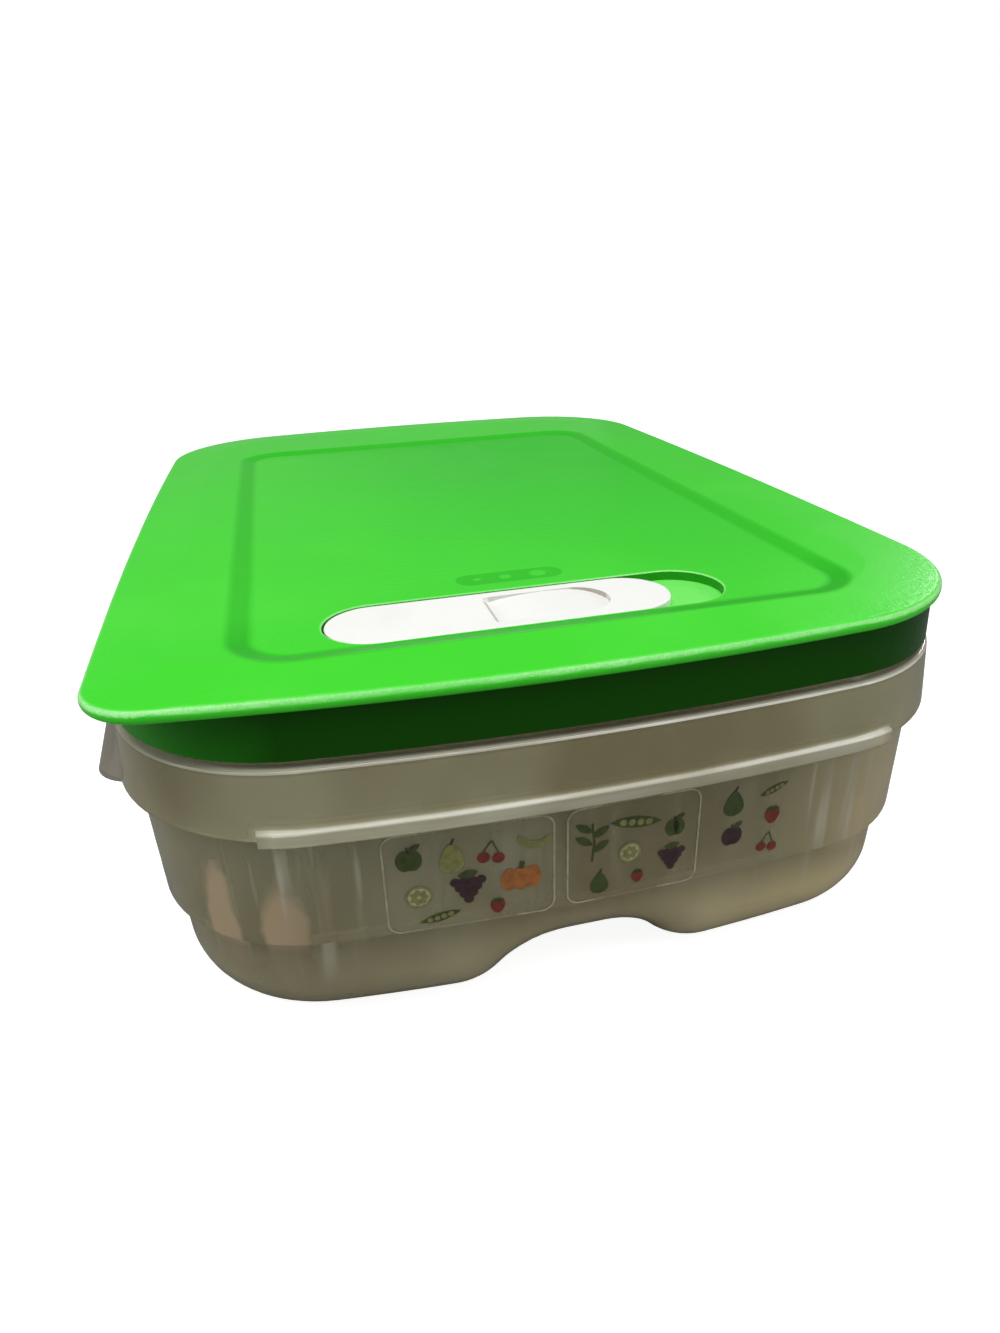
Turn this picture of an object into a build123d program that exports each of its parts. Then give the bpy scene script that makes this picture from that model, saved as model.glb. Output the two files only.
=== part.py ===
from build123d import *
from math import acos, sin
import os

# Millimetres. +Z is up, +Y runs along the container, and the origin lies on the table
# under the middle of the container. The pull tab is at the front left corner.

# Outer outline of the lid, seen from above
LID_WIDTH = 175.0
LID_LENGTH = 250.0
SIDE_BOW = 2.3
END_BOW = 7.0
CORNER_RADIUS = 38.0
TAB_CORNER_RADIUS = 13.0

# Lid heights and walls, measured down from the top
TOTAL_HEIGHT = 77.5
BORDER_WIDTH = 14.0
BORDER_DROOP = 0.8
LIP_HEIGHT = 2.7
LIP_ROUNDING = 1.3
LID_WALL = 1.6
SKIRT_INSET = 1.5
SKIRT_WALL = 1.1
SKIRT_FLARE = 0.3
SKIRT_HEIGHT = 11.9
PLUG_WALL = 1.2
PLUG_HEIGHT = 5.1

# Sunk panel in the lid's top, placed by the flat borders it leaves round it
PANEL_SIDE_BORDER = 25.0
PANEL_FRONT_BORDER = 15.5
PANEL_BACK_BORDER = 43.0
PANEL_CORNER = 13.0
PANEL_SLOPE = 4.0
PANEL_DEPTH = 0.8

# Vent slider and its pocket, placed by the pocket's left end and its distance from the lid's front
SLIDER_LENGTH = 69.0
SLIDER_WIDTH = 18.9
SLIDER_HEIGHT = 1.85
SLIDER_TRAVEL = 11.0
SLIDER_EDGE = 0.4
POCKET_LEFT = -45.1
POCKET_FRONT_DISTANCE = 30.6
POCKET_DEPTH = 2.1
POCKET_WALL = 1.4
POCKET_EDGE = 0.35
SIDE_CLEARANCE = 0.4
FACE_CLEARANCE = 0.1

# Vent holes in the pocket floor, opened one after the other
VENT_RADIUS = 2.2
VENT_FIRST = 3.3
VENT_PITCH = 5.3

# Finger scoop in the slider: a D shape with a crowned floor that is deep at both its ends
SCOOP_START = 31.7
SCOOP_LENGTH = 24.7
SCOOP_WIDTH = 13.5
SCOOP_DEPTH = 1.2
SCOOP_END_DEPTH = 1.1
SCOOP_CROWN_DEPTH = 0.15
SCOOP_SLANT = 1.1

# Legs of the slider and the keeper they snap into
LEG_LENGTH = 6.0
LEG_WIDTH = 4.0
LEG_SPACING = 28.0
LEG_BARB = 0.6
BARB_HEIGHT = 1.4
KEEPER_LENGTH = 46.0
KEEPER_WIDTH = 13.0
KEEPER_HEIGHT = 1.6
KEEPER_HOLE_CLEARANCE = 0.05

# Base rim, which stands inside the lid's skirt
RIM_CLEARANCE = 0.3
RIM_WALL = 1.6

# Base walls, given as the distance drawn in from the lid's outline
WALL = 1.8
WALL_INSET_TOP = 2.1
WALL_INSET_STEP = 3.0
FOOT_INSET_STEP = 5.2
FOOT_INSET_BOTTOM = 6.3
STEP_HEIGHT = 24.4
STEP_SLOPE = 2.0
BOTTOM_ROUNDING = 12.7

# Hanging collar round the base, with a finger lip across each end
LEDGE_DROP = 14.3
LEDGE_WALL = 1.6
COLLAR_HEIGHT = 12.9
COLLAR_WALL = 1.2
COLLAR_INSET = 0.8
COLLAR_FLARE = 1.7
COLLAR_CORNER_GAIN = 2.5
COLLAR_ROUNDING = 0.6
FINGER_LIP_BORDER = 27.0
FINGER_LIP_CORNER = 4.0
FINGER_LIP_PROUD = 0.6
FINGER_LIP_DROP = 1.0
FINGER_LIP_HEIGHT = 3.2

# Flared grips along the long sides
GRIP_REACH = 4.2
GRIP_BORDER = 33.0
GRIP_TAPER = 4.0
GRIP_CORNER = 9.0
GRIP_DROP = 1.3
GRIP_WALL = 1.5

# Feet and the arched channel between them
ARCH_HEIGHT = 10.1
ARCH_FLAT = 3.6
ARCH_ROOF_RADIUS = 16.5
ARCH_FOOT_RADIUS = 15.5

# Low ribs across the floor, which keep the produce out of the moisture
RIB_COUNT = 7
RIB_HEIGHT = 1.6
RIB_WIDTH = 2.4
RIB_INNER_X = 32.0
RIB_SIDE_BORDER = 23.5
RIB_END_BORDER = 44.0

# Overlap of joined solids, and the reach of a cutting solid past the piece it cuts
OVERLAP = 0.6
CUT_REACH = 10.0

LIP_TOP = TOTAL_HEIGHT - BORDER_DROOP
LIP_UNDERSIDE = LIP_TOP - LIP_HEIGHT
RIM_TOP = LIP_TOP - LID_WALL
SKIRT_BOTTOM = LIP_TOP - SKIRT_HEIGHT
PLUG_BOTTOM = LIP_TOP - PLUG_HEIGHT
PANEL_WIDTH = LID_WIDTH - 2 * PANEL_SIDE_BORDER
PANEL_LENGTH = LID_LENGTH - PANEL_FRONT_BORDER - PANEL_BACK_BORDER
PANEL_Y = (PANEL_FRONT_BORDER - PANEL_BACK_BORDER) / 2
PANEL_TOP = TOTAL_HEIGHT - PANEL_DEPTH
PANEL_UNDERSIDE = PANEL_TOP - LID_WALL
POCKET_FLOOR = PANEL_TOP - POCKET_DEPTH
POCKET_UNDERSIDE = POCKET_FLOOR - POCKET_WALL
POCKET_LENGTH = SLIDER_LENGTH + SLIDER_TRAVEL + 2 * SIDE_CLEARANCE
POCKET_WIDTH = SLIDER_WIDTH + 2 * SIDE_CLEARANCE
POCKET_X = POCKET_LEFT + POCKET_LENGTH / 2
POCKET_Y = POCKET_FRONT_DISTANCE - LID_LENGTH / 2
SLIDER_X = POCKET_LEFT + SIDE_CLEARANCE + SLIDER_LENGTH / 2
SLIDER_BOTTOM = POCKET_FLOOR + FACE_CLEARANCE
KEEPER_TOP = POCKET_UNDERSIDE - FACE_CLEARANCE
RIM_INSET = SKIRT_INSET + SKIRT_WALL + RIM_CLEARANCE
PLUG_INSET = RIM_INSET + RIM_WALL + RIM_CLEARANCE
LEDGE_HEIGHT = TOTAL_HEIGHT - LEDGE_DROP
LEDGE_UNDERSIDE = LEDGE_HEIGHT - LEDGE_WALL
COLLAR_BOTTOM = LEDGE_HEIGHT - COLLAR_HEIGHT
FINGER_LIP_SPAN = LID_WIDTH - 2 * FINGER_LIP_BORDER
FINGER_LIP_BOTTOM = COLLAR_BOTTOM - FINGER_LIP_DROP
GRIP_BOTTOM = COLLAR_BOTTOM - GRIP_DROP
GRIP_LENGTH = LID_LENGTH - 2 * GRIP_BORDER
RIB_OUTER_X = LID_WIDTH / 2 - RIB_SIDE_BORDER
RIB_PITCH = (LID_LENGTH - 2 * RIB_END_BORDER) / (RIB_COUNT - 1)


def outline(inset, z, corner_gain=0.0, front_left_radius=None):
    """Lid outline drawn in by inset: four bowed sides joined by round corners."""
    half_x = LID_WIDTH / 2 - inset
    half_y = LID_LENGTH / 2 - inset
    corner_x = half_x - SIDE_BOW
    corner_y = half_y - END_BOW
    sides = [
        ThreePointArc((corner_x, -corner_y), (half_x, 0), (corner_x, corner_y)),
        ThreePointArc((corner_x, corner_y), (0, half_y), (-corner_x, corner_y)),
        ThreePointArc((-corner_x, corner_y), (-half_x, 0), (-corner_x, -corner_y)),
        ThreePointArc((-corner_x, -corner_y), (0, -half_y), (corner_x, -corner_y)),
    ]
    shape = make_face(sides)
    corners = shape.vertices().sort_by(Axis.Y)
    front_left, front_right = corners[:2].sort_by(Axis.X)
    radius = CORNER_RADIUS - inset + corner_gain
    if front_left_radius is None:
        shape = fillet(corners, radius)
    else:
        shape = fillet([front_left], front_left_radius)
        sharp = [v for v in shape.vertices() if abs(v.X) > corner_x - SIDE_BOW and v.Y > 0]
        sharp = sharp + [v for v in shape.vertices() if v.X > corner_x - SIDE_BOW and v.Y < 0]
        shape = fillet(sharp, radius)
    return Pos(0, 0, z) * shape


def tapered(inset_low, z_low, inset_high, z_high, corner_gain=0.0):
    """Solid with the lid's outline that tapers from one inset to another."""
    return loft([outline(inset_low, z_low, corner_gain), outline(inset_high, z_high)], ruled=True)


def straight(inset, z_low, z_high):
    return extrude(outline(inset, z_low), z_high - z_low)


def stadium(length, width, x, z):
    return Pos(x, POCKET_Y, z) * SlotOverall(length, width)


def channel(grow):
    """Prism under the arch. grow moves its surface into the base, for the inner face."""
    roof_radius = ARCH_ROOF_RADIUS + grow
    foot_radius = ARCH_FOOT_RADIUS - grow
    turn = acos(1 - ARCH_HEIGHT / (roof_radius + foot_radius))
    foot_x = ARCH_FLAT + (roof_radius + foot_radius) * sin(turn)
    meet_x = ARCH_FLAT + roof_radius * sin(turn)
    roof_z = ARCH_HEIGHT + grow
    meet_z = grow + foot_radius * ARCH_HEIGHT / (roof_radius + foot_radius)
    lines = [Line((-ARCH_FLAT, roof_z), (ARCH_FLAT, roof_z))]
    for side in (1, -1):
        lines.append(TangentArc((side * ARCH_FLAT, roof_z), (side * meet_x, meet_z), tangent=(side, 0)))
        lines.append(TangentArc((side * foot_x, grow), (side * meet_x, meet_z), tangent=(-side, 0)))
        lines.append(Line((side * foot_x, grow), (side * foot_x, -CUT_REACH)))
    lines.append(Line((-foot_x, -CUT_REACH), (foot_x, -CUT_REACH)))
    profile = Plane.XZ * make_face(lines)
    return extrude(profile, LID_LENGTH, both=True)


def foot(wall):
    """Lower part of the tub, outside when wall is 0 and inside when it is the wall."""
    top = STEP_HEIGHT - STEP_SLOPE + wall
    body = tapered(FOOT_INSET_BOTTOM + wall, wall, FOOT_INSET_STEP + wall, top) - channel(wall)
    reach = ARCH_FLAT + ARCH_ROOF_RADIUS + ARCH_FOOT_RADIUS
    low = [
        e for e in body.edges()
        if e.center().Z < ARCH_HEIGHT + wall + OVERLAP
        and not (abs(e.center().X) < reach and e.length > LID_LENGTH / 2)
    ]
    return fillet(low, BOTTOM_ROUNDING - wall)


def tub_wall(wall, top):
    """Upper part of the tub with the sloping step below it, outside or inside like foot."""
    step = STEP_HEIGHT + wall
    levels = [
        outline(FOOT_INSET_STEP + wall, step - STEP_SLOPE),
        outline(WALL_INSET_STEP + wall, step),
        outline(WALL_INSET_TOP + wall, top),
    ]
    return loft(levels, ruled=True)


def ribs():
    """Rows of low ribs on both feet, sunk a little into the floor."""
    rib_length = RIB_OUTER_X - RIB_INNER_X
    rib = Pos(0, 0, WALL - OVERLAP) * extrude(SlotOverall(rib_length, RIB_WIDTH), RIB_HEIGHT + OVERLAP)
    rib = fillet(rib.faces().sort_by(Axis.Z)[-1].edges(), RIB_WIDTH / 3)
    placed = []
    for side in (1, -1):
        for i in range(RIB_COUNT):
            y = (i - (RIB_COUNT - 1) / 2) * RIB_PITCH
            placed.append(Pos(side * (RIB_OUTER_X + RIB_INNER_X) / 2, y, 0) * rib)
    return placed


def collar():
    """Collar that hangs from the ledge, with a thicker lip at each end of the base."""
    edge = COLLAR_INSET - COLLAR_FLARE
    outer = tapered(edge, COLLAR_BOTTOM, COLLAR_INSET, LEDGE_HEIGHT, COLLAR_CORNER_GAIN)
    outer = fillet(outer.faces().sort_by(Axis.Z)[-1].edges(), COLLAR_ROUNDING)
    inner_top = COLLAR_INSET + COLLAR_WALL
    inner = tapered(edge + COLLAR_WALL, COLLAR_BOTTOM, inner_top, LEDGE_UNDERSIDE, COLLAR_CORNER_GAIN)
    lip = straight(edge - FINGER_LIP_PROUD, FINGER_LIP_BOTTOM, FINGER_LIP_BOTTOM + FINGER_LIP_HEIGHT)
    ends = lip.faces().sort_by(Axis.Z)[0].edges() + lip.faces().sort_by(Axis.Z)[-1].edges()
    lip = fillet(ends, FINGER_LIP_PROUD)
    across = RectangleRounded(FINGER_LIP_SPAN, LID_LENGTH + 2 * CUT_REACH, FINGER_LIP_CORNER)
    across = extrude(Pos(0, 0, FINGER_LIP_BOTTOM) * across, FINGER_LIP_HEIGHT)
    lip = (lip & across) - straight(edge + COLLAR_WALL, FINGER_LIP_BOTTOM, LEDGE_UNDERSIDE)
    return outer - inner + lip


def grip(inward):
    """Block from the ledge that flares out to the grips, drawn in by inward for its hollow."""
    width = LID_WIDTH - 2 * inward
    length = GRIP_LENGTH - 2 * inward
    high = RectangleRounded(width, length - 2 * GRIP_TAPER, GRIP_CORNER - inward)
    low = RectangleRounded(width + 2 * GRIP_REACH, length, GRIP_CORNER - inward)
    return loft([Pos(0, 0, GRIP_BOTTOM) * low, Pos(0, 0, LEDGE_UNDERSIDE) * high], ruled=True)


def make_base():
    wall_outside = tub_wall(0, LEDGE_HEIGHT)
    wall_inside = tub_wall(WALL, LEDGE_UNDERSIDE)
    rim = straight(RIM_INSET, LEDGE_HEIGHT, RIM_TOP)
    rim_hole = straight(RIM_INSET + RIM_WALL, LEDGE_UNDERSIDE, RIM_TOP)
    grip_hollow = split(grip(GRIP_WALL), Plane.XY.offset(LEDGE_UNDERSIDE - GRIP_WALL), keep=Keep.BOTTOM)
    shell = collar() + grip(0) - grip_hollow
    shell = shell - straight(WALL_INSET_TOP + WALL / 2, GRIP_BOTTOM, LEDGE_UNDERSIDE)
    base = foot(0) + wall_outside + rim + shell
    base = base - foot(WALL) - wall_inside - rim_hole
    return base + ribs()


def plate(inset, below):
    """Block under the lid's top, whose border droops to the lip. The hollow is drawn in and lies below."""
    edge_radius = TAB_CORNER_RADIUS - inset
    inner_radius = max(TAB_CORNER_RADIUS - BORDER_WIDTH, LID_WALL)
    low = outline(inset, LIP_UNDERSIDE, front_left_radius=edge_radius)
    edge = outline(inset, LIP_TOP - below, front_left_radius=edge_radius)
    top = outline(BORDER_WIDTH, TOTAL_HEIGHT - below, front_left_radius=inner_radius)
    return loft([low, edge, top], ruled=True)


def make_lid():
    flange = plate(0, 0)
    rims = [e for e in flange.edges().filter_by(Plane.XY) if e.center().Z < LIP_TOP + BORDER_DROOP / 2]
    flange = fillet(rims, LIP_ROUNDING)
    skirt = tapered(SKIRT_INSET - SKIRT_FLARE, SKIRT_BOTTOM, SKIRT_INSET, RIM_TOP)
    skirt = skirt - tapered(
        SKIRT_INSET - SKIRT_FLARE + SKIRT_WALL, SKIRT_BOTTOM, SKIRT_INSET + SKIRT_WALL, RIM_TOP
    )
    plug_top = LIP_TOP - LID_WALL / 2
    plug = straight(PLUG_INSET, PLUG_BOTTOM, plug_top)
    plug = plug - straight(PLUG_INSET + PLUG_WALL, PLUG_BOTTOM, plug_top)
    lid = flange - plate(SKIRT_INSET + SKIRT_WALL, LID_WALL) + skirt + plug

    edge = RectangleRounded(PANEL_WIDTH, PANEL_LENGTH, PANEL_CORNER)
    flat_width = PANEL_WIDTH - 2 * PANEL_SLOPE
    flat_length = PANEL_LENGTH - 2 * PANEL_SLOPE
    flat = RectangleRounded(flat_width, flat_length, PANEL_CORNER - PANEL_SLOPE)
    sunk = loft([Pos(0, PANEL_Y, PANEL_TOP) * flat, Pos(0, PANEL_Y, TOTAL_HEIGHT) * edge], ruled=True)
    under = Pos(0, 0, -LID_WALL) * sunk
    lid = lid + under - sunk

    tray_length = POCKET_LENGTH + 2 * POCKET_WALL
    tray_width = POCKET_WIDTH + 2 * POCKET_WALL
    tray = stadium(tray_length, tray_width, POCKET_X, POCKET_UNDERSIDE)
    pocket = stadium(POCKET_LENGTH, POCKET_WIDTH, POCKET_X, POCKET_FLOOR)
    lid = lid + extrude(tray, PANEL_UNDERSIDE - POCKET_UNDERSIDE)
    lid = lid - extrude(pocket, POCKET_DEPTH + PANEL_DEPTH)
    brink = [
        e for e in lid.edges()
        if abs(e.center().Z - PANEL_TOP) < POCKET_EDGE / 2
        and abs(e.center().Y - POCKET_Y) < POCKET_WIDTH / 2 + POCKET_EDGE
        and abs(e.center().X - POCKET_X) < POCKET_LENGTH / 2 + POCKET_EDGE
    ]
    lid = fillet(brink, POCKET_EDGE)

    for i in range(2):
        x = POCKET_LEFT + VENT_FIRST + i * VENT_PITCH
        lid = lid - Pos(x, POCKET_Y, POCKET_UNDERSIDE) * extrude(Circle(VENT_RADIUS), POCKET_WALL)
    slot_length = LEG_LENGTH + SLIDER_TRAVEL + 2 * SIDE_CLEARANCE
    for side in (1, -1):
        x = SLIDER_X + SLIDER_TRAVEL / 2 + side * LEG_SPACING / 2
        slot = extrude(Rectangle(slot_length, LEG_WIDTH + 2 * SIDE_CLEARANCE), POCKET_WALL)
        lid = lid - Pos(x, POCKET_Y, POCKET_UNDERSIDE) * slot
    return lid


def make_slider():
    bar = extrude(stadium(SLIDER_LENGTH, SLIDER_WIDTH, SLIDER_X, SLIDER_BOTTOM), SLIDER_HEIGHT)
    bar = fillet(bar.faces().sort_by(Axis.Z)[-1].edges(), SLIDER_EDGE)
    top = SLIDER_BOTTOM + SLIDER_HEIGHT
    start = SLIDER_X - SLIDER_LENGTH / 2 + SCOOP_START
    half = SCOOP_WIDTH / 2
    keeper_bottom = KEEPER_TOP - KEEPER_HEIGHT

    # Seen from above the scoop is a D, straight at the left and round at the right
    end = start + SCOOP_LENGTH
    d_shape = Pos(end - half, 0) * Circle(half) + Pos((start + end - half) / 2, 0) * Rectangle(
        SCOOP_LENGTH - half, SCOOP_WIDTH
    )
    scoop = Pos(0, POCKET_Y, top - SCOOP_DEPTH) * extrude(d_shape, SCOOP_DEPTH)

    # Its floor slants down from the straight edge and then arches over to the round end
    foot_of_slant = (start + SCOOP_SLANT, top - SCOOP_DEPTH)
    crown = ((foot_of_slant[0] + end) / 2, top - SCOOP_CROWN_DEPTH)
    far_end = (end, top - SCOOP_END_DEPTH)
    profile = make_face([
        Line((start, top), foot_of_slant),
        ThreePointArc(foot_of_slant, crown, far_end),
        Line(far_end, (end, top)),
        Line((end, top), (start, top)),
    ])
    scoop = scoop & extrude(Plane.XZ.offset(-POCKET_Y) * profile, SCOOP_WIDTH, both=True)
    bar = bar - scoop

    for side in (1, -1):
        x = SLIDER_X + side * LEG_SPACING / 2
        shank = extrude(Rectangle(LEG_LENGTH, LEG_WIDTH), SLIDER_BOTTOM - keeper_bottom)
        barb = loft([
            Rectangle(LEG_LENGTH + 2 * LEG_BARB, LEG_WIDTH),
            Pos(0, 0, -BARB_HEIGHT) * Rectangle(LEG_LENGTH - LEG_BARB, LEG_WIDTH),
        ], ruled=True)
        bar = bar + Pos(x, POCKET_Y, keeper_bottom) * (shank + barb)
    return bar


def make_keeper():
    keeper_bottom = KEEPER_TOP - KEEPER_HEIGHT
    keeper = extrude(stadium(KEEPER_LENGTH, KEEPER_WIDTH, SLIDER_X, keeper_bottom), KEEPER_HEIGHT)
    gap = 2 * KEEPER_HOLE_CLEARANCE
    for side in (1, -1):
        x = SLIDER_X + side * LEG_SPACING / 2
        hole = extrude(Rectangle(LEG_LENGTH + gap, LEG_WIDTH + gap), KEEPER_HEIGHT)
        keeper = keeper - Pos(x, POCKET_Y, keeper_bottom) * hole
    return keeper


os.makedirs("parts", exist_ok=True)
export_step(make_base(), "parts/container_base.step")
export_step(make_lid(), "parts/lid.step")
export_step(make_slider(), "parts/vent_slider.step")
export_step(make_keeper(), "parts/slider_keeper.step")
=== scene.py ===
import bpy
import math
from mathutils import Matrix, Vector
from mathutils.bvhtree import BVHTree


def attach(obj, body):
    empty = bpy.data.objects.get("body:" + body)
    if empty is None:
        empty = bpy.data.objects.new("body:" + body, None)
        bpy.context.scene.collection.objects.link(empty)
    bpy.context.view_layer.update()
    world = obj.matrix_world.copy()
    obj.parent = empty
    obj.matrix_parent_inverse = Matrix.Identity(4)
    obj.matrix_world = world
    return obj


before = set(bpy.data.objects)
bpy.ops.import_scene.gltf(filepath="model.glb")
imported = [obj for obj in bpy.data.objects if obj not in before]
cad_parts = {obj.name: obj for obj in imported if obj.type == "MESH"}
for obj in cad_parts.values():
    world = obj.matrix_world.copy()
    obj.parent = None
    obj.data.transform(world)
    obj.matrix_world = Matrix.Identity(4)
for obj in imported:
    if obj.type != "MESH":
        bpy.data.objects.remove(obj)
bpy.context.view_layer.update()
MM = 0.001


# Colours

def linear(r, g, b):
    """Linear colour from the 0 to 255 values that a screen shows."""
    def one(c):
        c = c / 255
        return c / 12.92 if c <= 0.04045 else ((c + 0.055) / 1.055) ** 2.4
    return (one(r), one(g), one(b), 1.0)


def grey(level):
    """Grey of a linear level."""
    return (level, level, level, 1.0)


# Some of these colours are painted light and shade: the panel's deeper green, the polish's darker green, the
# pocket's and the lip's highlights, the shade of the skirt and pocket walls, the tub's warm patches, paler
# low parts and highlights, and the slider's scoop shade
GREEN = linear(62, 216, 42)
GREEN_PALE = linear(86, 226, 66)
GREEN_PANEL_SHADE = linear(44, 202, 32)
GREEN_POLISH_REFLECTION = linear(26, 168, 18)
GREEN_POCKET_HIGHLIGHT = linear(120, 240, 104)
GREEN_SHADE = linear(16, 70, 2)
GREEN_LIP_HIGHLIGHT = linear(186, 252, 176)
TUB = linear(220, 216, 180)
TUB_DEEP = linear(190, 180, 138)
TUB_HIGHLIGHT = linear(244, 243, 234)
TUB_WARM_LIGHT = linear(216, 190, 154)
TUB_LOW_LIGHT = linear(242, 226, 176)
TUB_GRIP = linear(196, 188, 174)
WHITE = linear(251, 251, 247)
WHITE_CLOUD = linear(236, 236, 230)
WHITE_SHADE = linear(176, 172, 162)


# Node helpers

# Sockets of a mix node that mixes colours
MIX_FIRST = 6
MIX_SECOND = 7
MIX_RESULT = 2


def material(name):
    """New material, its node tree and its one shader."""
    mat = bpy.data.materials.new(name)
    mat.use_nodes = True
    tree = mat.node_tree
    tree.nodes.clear()
    out = tree.nodes.new("ShaderNodeOutputMaterial")
    shader = tree.nodes.new("ShaderNodeBsdfPrincipled")
    tree.links.new(shader.outputs[0], out.inputs[0])
    return mat, tree, shader


def feed(tree, socket, value):
    """Set a socket to a number or a colour, or link a node's output to it."""
    if isinstance(value, (int, float, tuple)):
        socket.default_value = value
    else:
        tree.links.new(value, socket)


def math_node(tree, operation, *values):
    node = tree.nodes.new("ShaderNodeMath")
    node.operation = operation
    for socket, value in zip(node.inputs, values):
        feed(tree, socket, value)
    return node.outputs[0]


def chain(tree, operation, values):
    """Join two or more values two by two with one operation."""
    result = values[0]
    for value in values[1:]:
        result = math_node(tree, operation, result, value)
    return result


def product(tree, *values):
    return chain(tree, "MULTIPLY", values)


def largest(tree, *values):
    return chain(tree, "MAXIMUM", values)


def total(tree, *values):
    return chain(tree, "ADD", values)


def remap(tree, value, start, end, at_start=0.0, at_end=1.0, smooth=False):
    """Ramp between two values, level before its start and after its end."""
    node = tree.nodes.new("ShaderNodeMapRange")
    node.interpolation_type = "SMOOTHSTEP" if smooth else "LINEAR"
    node.inputs["From Min"].default_value = start
    node.inputs["From Max"].default_value = end
    node.inputs["To Min"].default_value = at_start
    node.inputs["To Max"].default_value = at_end
    tree.links.new(value, node.inputs["Value"])
    return node.outputs["Result"]


def between(tree, value, start, end, soft):
    """Mask that is 1 from start to end, with soft edges."""
    rise = remap(tree, value, start - soft, start + soft, smooth=True)
    fall = remap(tree, value, end - soft, end + soft, 1.0, 0.0, smooth=True)
    return product(tree, rise, fall)


def position(tree, stretch=(1, 1, 1)):
    """Place on the piece in metres, times stretch."""
    coord = tree.nodes.new("ShaderNodeTexCoord")
    mapping = tree.nodes.new("ShaderNodeMapping")
    mapping.inputs["Scale"].default_value = stretch
    tree.links.new(coord.outputs["Object"], mapping.inputs["Vector"])
    return mapping.outputs["Vector"]


def axes(tree):
    """X, Y and Z on the piece in metres."""
    node = tree.nodes.new("ShaderNodeSeparateXYZ")
    tree.links.new(position(tree), node.inputs[0])
    return node.outputs


def upward(tree):
    """1 where the surface faces up, 0 where it is upright, -1 where it faces down."""
    geometry = tree.nodes.new("ShaderNodeNewGeometry")
    node = tree.nodes.new("ShaderNodeSeparateXYZ")
    tree.links.new(geometry.outputs["Normal"], node.inputs[0])
    return node.outputs["Z"]


def noise(tree, scale, detail=3.0, stretch=(1, 1, 1), rough=0.55):
    """Cloudy values from 0 to 1, about as many clouds to the metre as scale says."""
    node = tree.nodes.new("ShaderNodeTexNoise")
    node.inputs["Scale"].default_value = scale
    node.inputs["Detail"].default_value = detail
    node.inputs["Roughness"].default_value = rough
    tree.links.new(position(tree, stretch), node.inputs["Vector"])
    return node.outputs["Fac"]


def mix_colour(tree, share, first, second):
    """The first colour where share is 0 and the second where it is 1."""
    node = tree.nodes.new("ShaderNodeMix")
    node.data_type = "RGBA"
    tree.links.new(share, node.inputs["Factor"])
    feed(tree, node.inputs[MIX_FIRST], first)
    feed(tree, node.inputs[MIX_SECOND], second)
    return node.outputs[MIX_RESULT]


def bump(tree, shader, height, depth):
    """Relief of that depth in metres."""
    node = tree.nodes.new("ShaderNodeBump")
    node.inputs["Strength"].default_value = 1.0
    node.inputs["Distance"].default_value = depth
    tree.links.new(height, node.inputs["Height"])
    tree.links.new(node.outputs[0], shader.inputs["Normal"])


def round_box_distance(tree, box):
    """Metres from a round-cornered rectangle seen from above, negative inside it.

    The box is its middle x and y, half its width and length, and its corner radius, in millimetres.
    """
    middle_x, middle_y, half_x, half_y, radius = (size * MM for size in box)
    x, y, _ = axes(tree)
    beyond = []
    for value, middle, half in ((x, middle_x, half_x), (y, middle_y, half_y)):
        offset = math_node(tree, "ABSOLUTE", math_node(tree, "SUBTRACT", value, middle))
        beyond.append(math_node(tree, "SUBTRACT", offset, half - radius))
    squares = [math_node(tree, "POWER", largest(tree, b, 0.0), 2.0) for b in beyond]
    outside = math_node(tree, "SQRT", total(tree, *squares))
    inside = math_node(tree, "MINIMUM", largest(tree, *beyond), 0.0)
    return math_node(tree, "SUBTRACT", total(tree, outside, inside), radius)


def blob(tree, u, v, middle, half):
    """Mask of an oval with uneven soft edges."""
    squares = []
    for value, centre, reach in zip((u, v), middle, half):
        share = math_node(tree, "DIVIDE", math_node(tree, "SUBTRACT", value, centre), reach)
        squares.append(product(tree, share, share))
    uneven = remap(tree, noise(tree, 120, 2.0), 0.3, 0.7, -0.35, 0.35)
    return remap(tree, total(tree, *squares, uneven), 0.45, 1.25, 1.0, 0.0, smooth=True)


# Lid: soft green with a polished slope round its sunk panel and a polished vent sign

# Rounded rectangles in millimetres: middle x, middle y, half width, half length, corner radius
PANEL_FRONT = -109.5
PANEL_BACK = 82.0
PANEL = (0.0, (PANEL_FRONT + PANEL_BACK) / 2, 62.5, (PANEL_BACK - PANEL_FRONT) / 2, 13.0)
VENT_Y = -94.4
POCKET = (-4.7, VENT_Y, 40.5, 10.0, 9.95)
SIGN_Y = -77.0
SIGN = (-4.3, SIGN_Y, 11.6, 3.4, 3.3)

# Each dot's middle x and half width in millimetres, and how far its corners fall short of round
SIGN_DOTS = ((-11.3, 0.8), (-5.2, 1.3), (2.0, 1.8))
DOT_SHORTFALL = 0.05

# Places on the lid in metres: where a mask starts and where it ends, or how soft its edge is
PANEL_SLOPE = (-0.0046, -0.0002)
PANEL_SLOPE_EDGE = 0.0012
PANEL_RIM = (-0.006, -0.002)
PANEL_SHADE_X = (-0.055, 0.01)
PANEL_SHADE_Y = (-0.1, 0.02)
POLISH_REFLECTION_Y = (-0.1, -0.085)
SIGN_EDGE = 0.0002
POCKET_EDGE = 0.0004
POCKET_WALL_Z = (0.074, 0.0745)
SKIRT_Z = (0.0742, 0.0736)
SKIRT_END_X = (-0.08, -0.055)
LIP_HIGHLIGHT_LOW_Z = (0.0754, 0.0756)
LIP_HIGHLIGHT_HIGH_Z = (0.0768, 0.07665)
BORDER_Z = (0.0772, 0.0768)
LID_RELIEF = 0.0003


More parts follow.
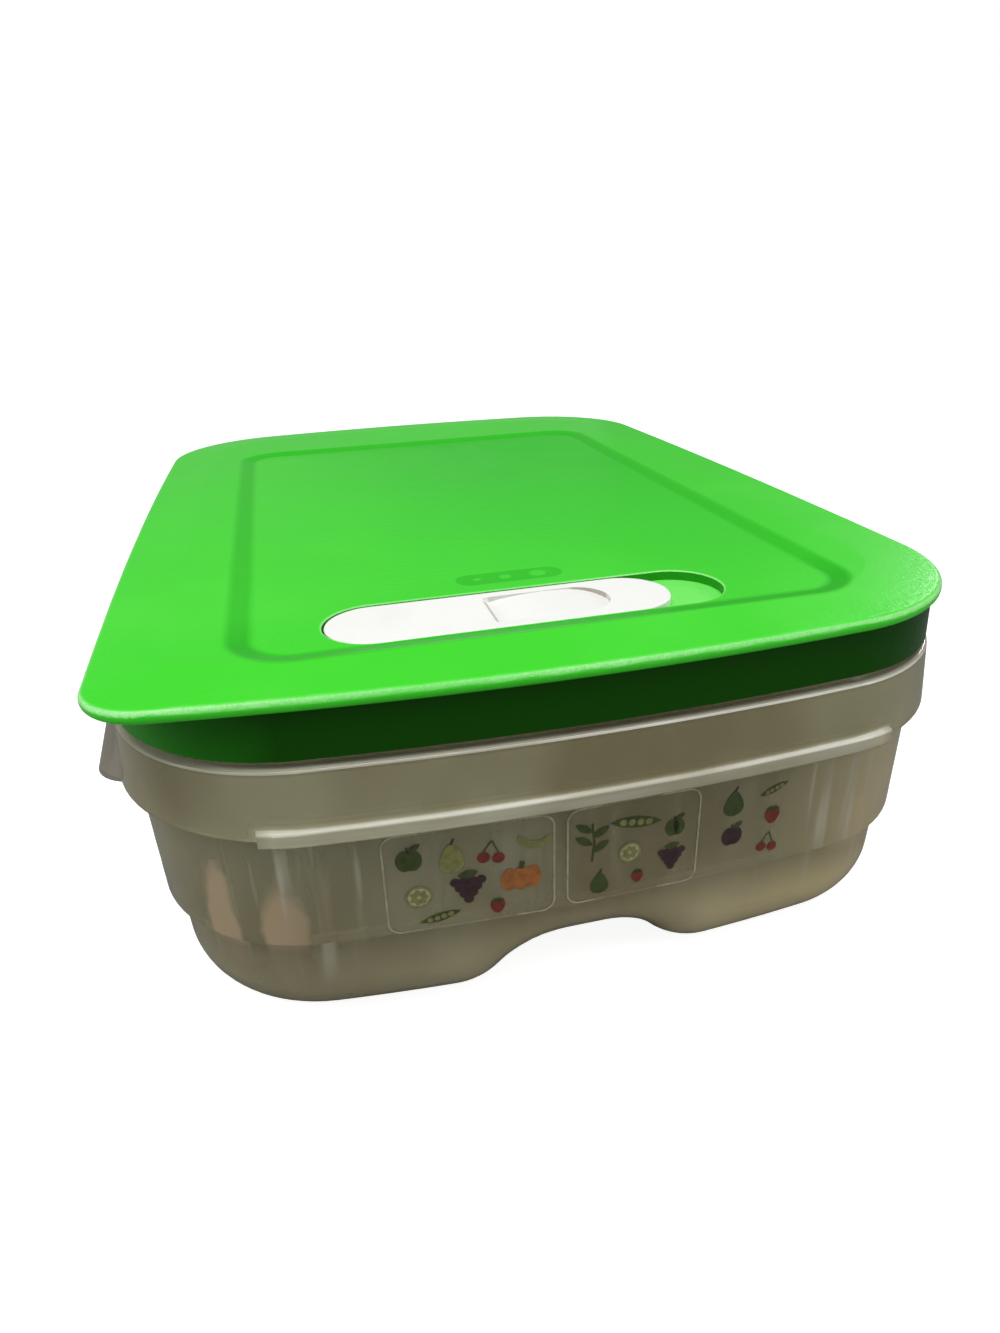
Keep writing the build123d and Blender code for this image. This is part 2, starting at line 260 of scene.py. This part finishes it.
def vent_sign(tree):
    """Mask of a plain rounded bar with three growing dots left out of it."""
    sign = remap(tree, round_box_distance(tree, SIGN), -SIGN_EDGE, SIGN_EDGE, 1.0, 0.0)
    for dot_x, half in SIGN_DOTS:
        dot = round_box_distance(tree, (dot_x, SIGN_Y, half, half, half - DOT_SHORTFALL))
        sign = product(tree, sign, remap(tree, dot, -SIGN_EDGE, SIGN_EDGE))
    return sign


def lid_material():
    mat, tree, shader = material("green_polyethylene")
    x, y, z = axes(tree)
    up = upward(tree)
    cloud = noise(tree, 22, 4.0)
    pale = remap(tree, cloud, 0.42, 0.72, 0.0, 0.35, smooth=True)
    colour = mix_colour(tree, pale, GREEN, GREEN_PALE)

    # The panel is painted a deeper green towards its right and its back: painted shade
    panel = round_box_distance(tree, PANEL)
    within = remap(tree, panel, *PANEL_RIM, 1.0, 0.0)
    rightward = remap(tree, x, *PANEL_SHADE_X)
    backward = remap(tree, y, *PANEL_SHADE_Y, 0.2, 1.0)
    colour = mix_colour(tree, product(tree, within, rightward, backward), colour, GREEN_PANEL_SHADE)

    # The slope round the panel and the sign are polished, and are painted darker as a painted dark
    # reflection, most at the front
    slope = between(tree, panel, *PANEL_SLOPE, PANEL_SLOPE_EDGE)
    level = remap(tree, up, 0.9, 0.95)
    polished = product(tree, largest(tree, slope, vent_sign(tree)), level)
    dark_reflection = remap(tree, y, *POLISH_REFLECTION_Y, 0.8, 0.5)
    colour = mix_colour(tree, product(tree, polished, dark_reflection), colour, GREEN_POLISH_REFLECTION)

    scuffs = remap(tree, noise(tree, 90, 6.0, (1, 0.25, 1), 0.7), 0.6, 0.8, 0.0, 0.25, smooth=True)
    colour = mix_colour(tree, scuffs, colour, GREEN_PALE)

    # The pocket's floor has a painted highlight, and its walls and the skirt below the lip have painted
    # shade, lighter at the skirt's left end
    pocket = remap(tree, round_box_distance(tree, POCKET), 0.0, POCKET_EDGE, 1.0, 0.0)
    pocket_floor_highlight = product(tree, pocket, remap(tree, up, 0.8, 0.9))
    colour = mix_colour(tree, pocket_floor_highlight, colour, GREEN_POCKET_HIGHLIGHT)
    upright = between(tree, up, -0.5, 0.45, 0.1)
    pocket_wall = product(tree, pocket, upright, remap(tree, z, *POCKET_WALL_Z, 0.0, 0.6))
    skirt = product(tree, remap(tree, z, *SKIRT_Z), remap(tree, x, *SKIRT_END_X, 0.7, 1.0))
    shade = largest(tree, skirt, pocket_wall)
    colour = mix_colour(tree, shade, colour, GREEN_SHADE)

    # The rounding of the lip has a painted highlight in a grainy, patchy line
    slanted = between(tree, up, 0.3, 0.85, 0.12)
    lip_highlight = product(tree, slanted, remap(tree, z, *LIP_HIGHLIGHT_LOW_Z), remap(tree, z, *LIP_HIGHLIGHT_HIGH_Z))
    grainy = remap(tree, noise(tree, 2600, 3.0), 0.35, 0.65, 0.55, 1.0)
    patchy = remap(tree, noise(tree, 14, 2.0), 0.35, 0.65, 0.4, 0.9)
    lip_breakup = product(tree, grainy, patchy)
    colour = mix_colour(tree, product(tree, lip_highlight, lip_breakup), colour, GREEN_LIP_HIGHLIGHT)

    # What is shaded or polished mirrors less of the lamps
    dull = largest(tree, shade, product(tree, polished, 0.8))
    tree.links.new(colour, shader.inputs["Base Color"])
    tree.links.new(remap(tree, dull, 0.0, 1.0, 0.2, 0.1), shader.inputs["Specular IOR Level"])
    tree.links.new(remap(tree, cloud, 0.3, 0.7, 0.3, 0.4), shader.inputs["Roughness"])

    # The lip and the drooping border are grainier than the top
    coarseness = remap(tree, z, *BORDER_Z, 0.08, 0.4)
    smoothed = remap(tree, polished, 0.0, 1.0, 1.0, 0.2)
    grain = product(tree, noise(tree, 700, 3.0), coarseness, smoothed)
    wave = product(tree, noise(tree, 30, 2.0), 0.6)
    bump(tree, shader, total(tree, grain, wave), LID_RELIEF)
    return mat


# Tub: milky polypropylene that lets some light through, with painted highlights and patches of painted light

# Painted warm light patches at the corners in metres: middle and half size, each across the tub and upwards
WARM_LIGHT_NEAR = ((0.0585, 0.023), (0.0046, 0.0165))
WARM_LIGHT_FAR = ((0.0695, 0.026), (0.0028, 0.0175))

# Places on the tub in metres: where a mask starts and where it ends, or how soft its edge is
RIGHT_HALF_X = (0.0, 0.05)
BELOW_COLLAR_Z = (0.05, 0.044)
CORNER_X = (0.04, 0.062)
CORNER_Y = (0.086, 0.104)
STEP_LINE_Z = (0.0195, 0.023)
FOOT_Z = (0.03, 0.01)
FOOT_X = (-0.06, 0.05)
RIGHT_END_X = (0.03, 0.06)
STREAK_Z = (0.008, 0.03)
STREAK_X = (0.03, 0.05)
STREAK_Y = (0.08, 0.1)
GRIP_X = (0.0855, 0.0865)
FOLD_Z = (0.0626, 0.0634)
FOLD_X = (-0.06, 0.0)
LEDGE_Z = (0.0628, 0.0636)
FOLD_EDGE = 0.0001
FINGER_LIP_X = (0.062, 0.058)
FINGER_LIP_Y = (0.112, 0.118)
FINGER_LIP_Z = (0.0488, 0.0528)
FINGER_LIP_EDGE = 0.0004
POLYPROPYLENE_IOR = 1.49
TUB_RELIEF = 0.0008


def streak_highlights(tree, side, along, z, below, right):
    """Mask of painted highlight streaks, upright below the collar, strongest near the left corners."""
    streak = noise(tree, 170, 2.0, (1, 1, 0.06), 0.6)
    streaks = product(tree, remap(tree, streak, 0.54, 0.7, smooth=True), below)
    streaks = product(tree, streaks, remap(tree, z, *STREAK_Z))
    streaks = product(tree, streaks, remap(tree, side, *STREAK_X, 0.1, 0.75, smooth=True))
    streaks = product(tree, streaks, remap(tree, along, *STREAK_Y, 0.3, 1.0, smooth=True))
    return product(tree, streaks, remap(tree, right, 0.0, 1.0, 1.0, 0.55))


def edge_highlights(tree, x, side, along, z, up):
    """Mask of painted highlights on the collar's fold, the finger lips at both ends and, fainter, the ledge.
    """
    fold = product(tree, between(tree, z, *FOLD_Z, FOLD_EDGE), between(tree, up, 0.2, 0.9, 0.1))
    fold = product(tree, fold, remap(tree, x, *FOLD_X, 0.45, 1.0))
    lip = product(tree, between(tree, z, *FINGER_LIP_Z, FINGER_LIP_EDGE), remap(tree, along, *FINGER_LIP_Y))
    lip = product(tree, lip, remap(tree, side, *FINGER_LIP_X), remap(tree, up, -0.2, 0.5, 0.3, 1.0))
    edge_breakup = remap(tree, noise(tree, 60, 3.0, (0.25, 1, 3)), 0.35, 0.6, 0.5, 1.0)
    ledge = product(tree, between(tree, z, *LEDGE_Z, FOLD_EDGE), remap(tree, up, 0.9, 0.97))
    return largest(tree, product(tree, largest(tree, fold, lip), edge_breakup), product(tree, ledge, 0.45))


def tub_material():
    mat, tree, shader = material("translucent_polypropylene")
    x, y, z = axes(tree)
    up = upward(tree)
    side = math_node(tree, "ABSOLUTE", x)
    along = math_node(tree, "ABSOLUTE", y)
    right = remap(tree, x, *RIGHT_HALF_X)
    below = remap(tree, z, *BELOW_COLLAR_Z, smooth=True)
    cloud = noise(tree, 26, 3.0, (1, 1, 0.5))
    colour = mix_colour(tree, remap(tree, cloud, 0.36, 0.62), TUB, TUB_DEEP)

    # At the corners two warm patches of painted light stand for light the round wall gathers
    corner = product(tree, remap(tree, side, *CORNER_X, smooth=True), below)
    corner = product(tree, corner, remap(tree, along, *CORNER_Y, smooth=True))
    patches = largest(tree, blob(tree, side, z, *WARM_LIGHT_NEAR), blob(tree, side, z, *WARM_LIGHT_FAR))
    warm_light = product(tree, patches, corner, remap(tree, z, *STEP_LINE_Z, 0.25, 1.0, smooth=True))
    warm_light = product(tree, warm_light, remap(tree, right, 0.0, 1.0, 0.85, 0.6))
    colour = mix_colour(tree, warm_light, colour, TUB_WARM_LIGHT)

    # The feet and the right end of the walls are painted paler: painted light
    feet = product(tree, remap(tree, z, *FOOT_Z, 0.0, 0.8, smooth=True), remap(tree, x, *FOOT_X, 0.2, 1.0))
    right_end = product(tree, right, below, remap(tree, side, *RIGHT_END_X, 0.0, 0.5))
    low_light = largest(tree, feet, right_end)
    colour = mix_colour(tree, low_light, colour, TUB_LOW_LIGHT)
    colour = mix_colour(tree, remap(tree, side, *GRIP_X), colour, TUB_GRIP)

    # Painted highlights on streaks and thick edges, which also let less light through
    highlights = largest(tree, streak_highlights(tree, side, along, z, below, right),
                     edge_highlights(tree, x, side, along, z, up))
    colour = mix_colour(tree, highlights, colour, TUB_HIGHLIGHT)
    solid = largest(tree, product(tree, largest(tree, warm_light, low_light), 0.6), highlights)
    tree.links.new(colour, shader.inputs["Base Color"])
    tree.links.new(remap(tree, solid, 0.0, 1.0, 0.7, 0.1), shader.inputs["Transmission Weight"])
    tree.links.new(remap(tree, cloud, 0.3, 0.7, 0.13, 0.2), shader.inputs["Roughness"])
    shader.inputs["IOR"].default_value = POLYPROPYLENE_IOR

    wave = noise(tree, 26, 1.0, (1, 1, 0.12))
    fine = product(tree, noise(tree, 500, 2.0), 0.006)
    bump(tree, shader, total(tree, wave, fine), TUB_RELIEF)
    return mat


# Slider: white, with painted shade on the slopes of its finger scoop

# The scoop as a rounded rectangle in millimetres, and its soft edge and the slider's relief in metres
SCOOP = (-0.65, VENT_Y, 12.2, 6.6, 2.0)
SCOOP_EDGE = 0.0003
SLIDER_RELIEF = 0.00001


def slider_material():
    mat, tree, shader = material("white_plastic")
    cloud = noise(tree, 60, 3.0)
    colour = mix_colour(tree, remap(tree, cloud, 0.45, 0.75, 0.0, 0.5), WHITE, WHITE_CLOUD)
    scoop = remap(tree, round_box_distance(tree, SCOOP), 0.0, SCOOP_EDGE, 1.0, 0.0)
    slope = product(tree, scoop, remap(tree, upward(tree), 0.985, 0.7))
    colour = mix_colour(tree, slope, colour, WHITE_SHADE)
    tree.links.new(colour, shader.inputs["Base Color"])
    tree.links.new(remap(tree, cloud, 0.3, 0.7, 0.3, 0.4), shader.inputs["Roughness"])
    bump(tree, shader, noise(tree, 1600, 2.0), SLIDER_RELIEF)
    return mat


def dress(node, mat):
    """Give a CAD piece one material."""
    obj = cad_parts[node]
    obj.data.materials.clear()
    obj.data.materials.append(mat)


dress("lid", lid_material())
dress("container_base", tub_material())
white = slider_material()
dress("vent_slider", white)
dress("slider_keeper", white)


# Printed produce chart on the front wall: generic fruit and leaves in two thin frames and a column

INKS = {
    "leaf_green": linear(64, 78, 32),
    "pale_green": linear(136, 136, 80),
    "dark_red": linear(124, 46, 34),
    "orange": linear(168, 104, 50),
    "plum": linear(62, 38, 42),
    "cream": linear(178, 172, 142),
}
SPECK_SHADE = 0.72


def ink_material(name, colour):
    """Dull ink with darker specks."""
    mat, tree, shader = material("ink_" + name)
    speck = noise(tree, 700, 2.0)
    dark = tuple(c * SPECK_SHADE for c in colour[:3]) + (1.0,)
    tree.links.new(mix_colour(tree, remap(tree, speck, 0.4, 0.65), colour, dark), shader.inputs["Base Color"])
    tree.links.new(remap(tree, speck, 0.3, 0.7, 0.4, 0.55), shader.inputs["Roughness"])
    return mat


def oval(x, z, rx, rz, tilt=0.0, narrow=0.0, steps=28):
    """Oval round (x, z), drawn in towards its top by narrow, as a pear is."""
    points = []
    turn = math.radians(tilt)
    for i in range(steps):
        a = math.tau * i / steps
        px = rx * math.cos(a) * (1 - narrow * math.sin(a))
        pz = rz * math.sin(a)
        turned_x = px * math.cos(turn) - pz * math.sin(turn)
        turned_z = px * math.sin(turn) + pz * math.cos(turn)
        points.append((x + turned_x, z + turned_z))
    return points


def leaf(x0, z0, x1, z1, width, steps=10):
    """Pointed leaf from one tip to the other."""
    length = math.hypot(x1 - x0, z1 - z0)
    ux, uz = (x1 - x0) / length, (z1 - z0) / length
    right, left = [], []
    for i in range(steps + 1):
        t = i / steps
        side = width / 2 * math.sin(math.pi * t) ** 0.8
        right.append((x0 + ux * length * t - uz * side, z0 + uz * length * t + ux * side))
        left.append((x0 + ux * length * t + uz * side, z0 + uz * length * t - ux * side))
    return right + left[-2:0:-1]


def stroke(points, width):
    """Strip of even width along points."""
    right, left = [], []
    for i, (x, z) in enumerate(points):
        x0, z0 = points[max(i - 1, 0)]
        x1, z1 = points[min(i + 1, len(points) - 1)]
        length = math.hypot(x1 - x0, z1 - z0)
        nx, nz = -(z1 - z0) / length * width / 2, (x1 - x0) / length * width / 2
        right.append((x + nx, z + nz))
        left.append((x - nx, z - nz))
    return right + left[::-1]


def arc(x, z, r, start, end, steps):
    """Points on an arc round (x, z), from one angle to another in degrees."""
    points = []
    for i in range(steps + 1):
        a = math.radians(start + (end - start) * i / steps)
        points.append((x + r * math.cos(a), z + r * math.sin(a)))
    return points


def rounded_frame(x0, z0, x1, z1, r):
    """Closed path round a rectangle with round corners."""
    corners = ((x1 - r, z1 - r, 0), (x0 + r, z1 - r, 90), (x0 + r, z0 + r, 180), (x1 - r, z0 + r, 270))
    path = []
    for corner_x, corner_z, a in corners:
        path += arc(corner_x, corner_z, r, a, a + 90, 6)
    return path + path[:1]


def apple(x, z, r, ink):
    stalk = stroke([(x, z + r * 0.7), (x - r * 0.1, z + r * 1.35)], r * 0.16)
    return [(ink, 1, oval(x - r * 0.3, z, r * 0.75, r)),
            (ink, 1, oval(x + r * 0.3, z, r * 0.75, r)),
            ("leaf_green", 2, leaf(x, z + r * 0.9, x + r, z + r * 1.5, r * 0.5)),
            ("plum", 2, stalk)]


def cherries(x, z, r):
    shapes = []
    for dx, dz in ((-1.2, 0), (1.1, -0.4)):
        middle_x, middle_z = x + dx * r, z + dz * r
        bend = (x + dx * r * 0.5, z + 2 * r)
        stalk = stroke([(middle_x, middle_z + r), bend, (x + r * 0.2, z + 3 * r)], r * 0.22)
        shapes += [("dark_red", 1, oval(middle_x, middle_z, r, r)), ("leaf_green", 2, stalk)]
    return shapes


def pea_pod(x, z, length, tilt):
    a = math.radians(tilt)
    ux, uz = math.cos(a) * length / 2, math.sin(a) * length / 2
    shapes = [("leaf_green", 1, leaf(x - ux, z - uz, x + ux, z + uz, length * 0.24))]
    for t in (-0.5, -0.17, 0.17, 0.5):
        shapes.append(("pale_green", 2, oval(x + ux * t, z + uz * t, length * 0.07, length * 0.07)))
    return shapes


def citrus(x, z, r, ink):
    shapes = [(ink, 1, oval(x, z, r, r)), ("cream", 2, oval(x, z, r * 0.82, r * 0.82))]
    for k in range(7):
        a = math.tau * k / 7
        ux, uz = r * math.cos(a), r * math.sin(a)
        segment = leaf(x + 0.12 * ux, z + 0.12 * uz, x + 0.76 * ux, z + 0.76 * uz, r * 0.46, 6)
        shapes.append((ink, 3, segment))
    return shapes


def bunch(x, z, r):
    shapes = []
    for row, count in enumerate((4, 3, 2, 1)):
        for k in range(count):
            middle_x = x + (k - (count - 1) / 2) * r * 1.7
            shapes.append(("plum", 1 + row % 2, oval(middle_x, z - row * r * 1.45, r, r)))
    shapes.append(("leaf_green", 3, leaf(x - r * 2, z + r * 1.4, x + r * 2, z + r * 2.0, r * 1.8)))
    return shapes


def sprig(x, z, size):
    stem = stroke([(x, z - size), (x + size * 0.1, z), (x, z + size)], size * 0.09)
    shapes = [("leaf_green", 1, stem)]
    for t, side in ((-0.5, 1), (-0.1, -1), (0.25, 1), (0.55, -1)):
        foot_z = z + size * t
        tip_x, tip_z = x + side * size * 0.75, foot_z + size * 0.5
        shapes.append(("leaf_green", 2, leaf(x, foot_z, tip_x, tip_z, size * 0.36)))
    return shapes


def pear(x, z, r, ink):
    stalk = stroke([(x, z + r * 1.35), (x + r * 0.25, z + r * 1.95)], r * 0.16)
    return [(ink, 1, oval(x, z, r, r * 1.45, 0, 0.42)), ("plum", 2, stalk)]


def squash(x, z, r):
    shapes = [("orange", 1, oval(x + dx * r, z, r * 0.5, r * 0.8)) for dx in (-0.7, 0.7)]
    shapes.append(("orange", 2, oval(x, z, r * 0.55, r * 0.85)))
    shapes.append(("leaf_green", 3, stroke([(x, z + r * 0.7), (x + r * 0.1, z + r * 1.2)], r * 0.3)))
    return shapes


def berry(x, z, r):
    shapes = [("dark_red", 1, oval(x, z, r * 0.85, r, 180, 0.3))]
    for k in range(5):
        a = math.radians(30 + 30 * k)
        tip_x = x + 0.9 * r * math.cos(a)
        tip_z = z + 0.6 * r + 0.7 * r * math.sin(a)
        shapes.append(("leaf_green", 2, leaf(x, z + r * 0.7, tip_x, tip_z, r * 0.35, 6)))
    return shapes


def banana(x, z, r, ink):
    outer = arc(x, z, r, 200, 330, 14)
    inner = arc(x + r * 0.12, z + r * 0.42, r * 0.98, 322, 208, 14)
    return [(ink, 1, outer + inner)]


# How far the print lies off the wall and how far each layer of it lies off the last, in millimetres
PRINT_LIFT = 0.1
LAYER_LIFT = 0.04

# A place in front of the whole tub, in metres, from which rays find the wall
RAY_START_Y = -0.2

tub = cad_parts["container_base"]
tub_surface = BVHTree.FromPolygons([v.co for v in tub.data.vertices], [p.vertices for p in tub.data.polygons])
ink_mats = {name: ink_material(name, colour) for name, colour in INKS.items()}


def on_front_wall(x, z, lift):
    """Point in metres on the front wall, lifted off it, from an x, z and lift in millimetres."""
    start = Vector((x * MM, RAY_START_Y, z * MM))
    hit = tub_surface.ray_cast(start, Vector((0, 1, 0)))[0]
    return hit - Vector((0, lift * MM, 0))


def decal(name, shapes):
    """One thin printed piece on the front wall from (ink, layer, outline) shapes."""
    verts, faces, slots = [], [], []
    inks = sorted({ink for ink, _, _ in shapes})
    for ink, layer, outline in shapes:
        start = len(verts)
        verts += [on_front_wall(x, z, PRINT_LIFT + LAYER_LIFT * layer) for x, z in outline]
        faces.append(list(range(start, len(verts))))
        slots.append(inks.index(ink))
    mesh = bpy.data.meshes.new(name)
    mesh.from_pydata(verts, [], faces)
    for ink in inks:
        mesh.materials.append(ink_mats[ink])
    for poly, slot in zip(mesh.polygons, slots):
        poly.material_index = slot
    obj = bpy.data.objects.new(name, mesh)
    bpy.context.scene.collection.objects.link(obj)
    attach(obj, "base")


# The two thin frames in millimetres: left, bottom, right and top, their corner radius and line width
FRAMES = ((-40.2, 24.6, -8.6, 46.6), (-6.0, 24.9, 20.6, 46.6))
FRAME_CORNER = 2.4
FRAME_LINE = 0.35

decal("chart_fruit", apple(-35.5, 41.0, 2.3, "leaf_green") + pear(-27.8, 40.3, 2.2, "pale_green")
      + cherries(-20.5, 39.4, 1.2) + banana(-12.3, 43.4, 3.6, "pale_green")
      + citrus(-34.2, 32.5, 2.5, "pale_green") + bunch(-25.0, 34.6, 0.95) + squash(-15.0, 33.4, 3.2)
      + pea_pod(-30.5, 27.2, 8.0, 12) + berry(-19.6, 27.6, 1.6))
decal("chart_leaves", sprig(-1.2, 38.6, 4.4) + pea_pod(7.5, 41.6, 10.5, -8)
      + apple(15.6, 38.6, 1.9, "leaf_green") + citrus(6.4, 34.8, 2.3, "pale_green")
      + pear(0.4, 28.8, 1.7, "leaf_green") + berry(8.2, 28.6, 1.4) + bunch(15.2, 33.0, 0.8))
decal("chart_column", pear(28.0, 41.2, 2.0, "leaf_green") + pea_pod(36.8, 42.6, 6.5, 20)
      + berry(37.0, 36.2, 1.9) + apple(28.2, 33.4, 2.1, "plum") + cherries(36.6, 29.0, 1.1))
decal("chart_frames", [("cream", 0, stroke(rounded_frame(*sides, FRAME_CORNER), FRAME_LINE))
                       for sides in FRAMES])


# Floor and world: white to the camera, and dimmer as light on the object

FLOOR_REACH = 6.0
FLOOR_GAP = 0.0002
FLOOR_BOUNCE = grey(0.25)
FLOOR_SEEN = grey(0.5)
FLOOR_GLOW = 0.9
WORLD_LIGHT = 0.22
WORLD_GLOW = 0.78
PURE_WHITE = grey(1.0)


def floor_material():
    """White to the camera with the object's shadow on it, and dimmer as a source of bounced light."""
    mat, tree, shader = material("pale_floor")
    seen = tree.nodes.new("ShaderNodeLightPath").outputs["Is Camera Ray"]
    tree.links.new(mix_colour(tree, seen, FLOOR_BOUNCE, FLOOR_SEEN), shader.inputs["Base Color"])
    tree.links.new(product(tree, seen, FLOOR_GLOW), shader.inputs["Emission Strength"])
    shader.inputs["Emission Color"].default_value = PURE_WHITE
    shader.inputs["Roughness"].default_value = 0.9
    shader.inputs["Specular IOR Level"].default_value = 0.1
    return mat


floor_mesh = bpy.data.meshes.new("floor")
floor_signs = ((-1, -1), (1, -1), (1, 1), (-1, 1))
floor_corners = [(x * FLOOR_REACH, y * FLOOR_REACH, -FLOOR_GAP) for x, y in floor_signs]
floor_mesh.from_pydata(floor_corners, [], [(0, 1, 2, 3)])
floor_mesh.materials.append(floor_material())
floor = bpy.data.objects.new("floor", floor_mesh)
bpy.context.scene.collection.objects.link(floor)

world = bpy.data.worlds.new("studio")
world.use_nodes = True
sky = world.node_tree
backdrop = sky.nodes["Background"]
to_camera = sky.nodes.new("ShaderNodeLightPath").outputs["Is Camera Ray"]
sky.links.new(total(sky, product(sky, to_camera, WORLD_GLOW), WORLD_LIGHT), backdrop.inputs["Strength"])
backdrop.inputs["Color"].default_value = PURE_WHITE
bpy.context.scene.world = world


# Lamps

def area_light(name, place, target, wide, tall, watts, mirrored=True):
    """Rectangular lamp, placed and sized in metres, that gloss shows only if it is mirrored."""
    lamp = bpy.data.lights.new(name, "AREA")
    lamp.shape = "RECTANGLE"
    lamp.size = wide
    lamp.size_y = tall
    lamp.energy = watts
    obj = bpy.data.objects.new(name, lamp)
    obj.location = place
    obj.rotation_euler = (Vector(target) - Vector(place)).to_track_quat("-Z", "Y").to_euler()
    obj.visible_glossy = mirrored
    bpy.context.scene.collection.objects.link(obj)


area_light("softbox", place=(-0.1, -0.2, 0.7), target=(0, -0.05, 0.07), wide=0.6, tall=0.6, watts=2.95)
area_light("strip", place=(0.1, -0.34, 0.9), target=(0.02, -0.1, 0.07), wide=0.7, tall=0.06, watts=1.2)
area_light("left_card", place=(-0.5, -0.15, 0.3), target=(-0.07, -0.08, 0.04), wide=0.08, tall=0.3,
           watts=0.75, mirrored=False)
area_light("front_low", place=(0.15, -0.7, 0.06), target=(0.02, -0.12, 0.03), wide=0.6, tall=0.15,
           watts=0.6, mirrored=False)
area_light("back_left", place=(-0.12, 0.7, 0.13), target=(-0.05, 0.1, 0.077), wide=0.9, tall=0.1, watts=0.12)
area_light("back_right", place=(0.6, 0.35, 0.35), target=(0.08, 0.0, 0.076), wide=0.1, tall=0.3, watts=1.0)
area_light("right_card", place=(0.5, -0.42, 0.3), target=(0.05, -0.11, 0.05), wide=0.06, tall=0.3, watts=0.5)


# Camera, found by matching the outline of the lid, the slider and the walls

# Angles in radians, place in metres, photograph in its pixels and sensor in millimetres
CAMERA_YAW = 0.22847
CAMERA_PITCH = 0.43454
CAMERA_ROLL = 0.03784
CAMERA_PLACE = (-0.04725, -0.24980, 0.13811)
FOCAL_PIXELS = 876.4
PHOTO_HEIGHT = 1333
SENSOR_WIDTH = 36.0


def camera_turn(yaw, pitch, roll):
    """Turn of a camera that looks along +Y, after it is turned right, tilted down and rolled."""
    level = math.cos(pitch)
    forward = Vector((math.sin(yaw) * level, math.cos(yaw) * level, -math.sin(pitch)))
    right = Vector((math.cos(yaw), -math.sin(yaw), 0.0))
    down = forward.cross(right)
    right_rolled = right * math.cos(roll) + down * math.sin(roll)
    down_rolled = down * math.cos(roll) - right * math.sin(roll)
    return Matrix((right_rolled, -down_rolled, -forward)).transposed().to_4x4()


lens = bpy.data.cameras.new("camera")
lens.sensor_width = SENSOR_WIDTH
lens.lens = FOCAL_PIXELS / PHOTO_HEIGHT * SENSOR_WIDTH
lens.clip_start = 0.01
camera = bpy.data.objects.new("camera", lens)
camera.matrix_world = Matrix.Translation(CAMERA_PLACE) @ camera_turn(CAMERA_YAW, CAMERA_PITCH, CAMERA_ROLL)
bpy.context.scene.collection.objects.link(camera)
bpy.context.scene.camera = camera
bpy.context.scene.view_settings.view_transform = "Standard"
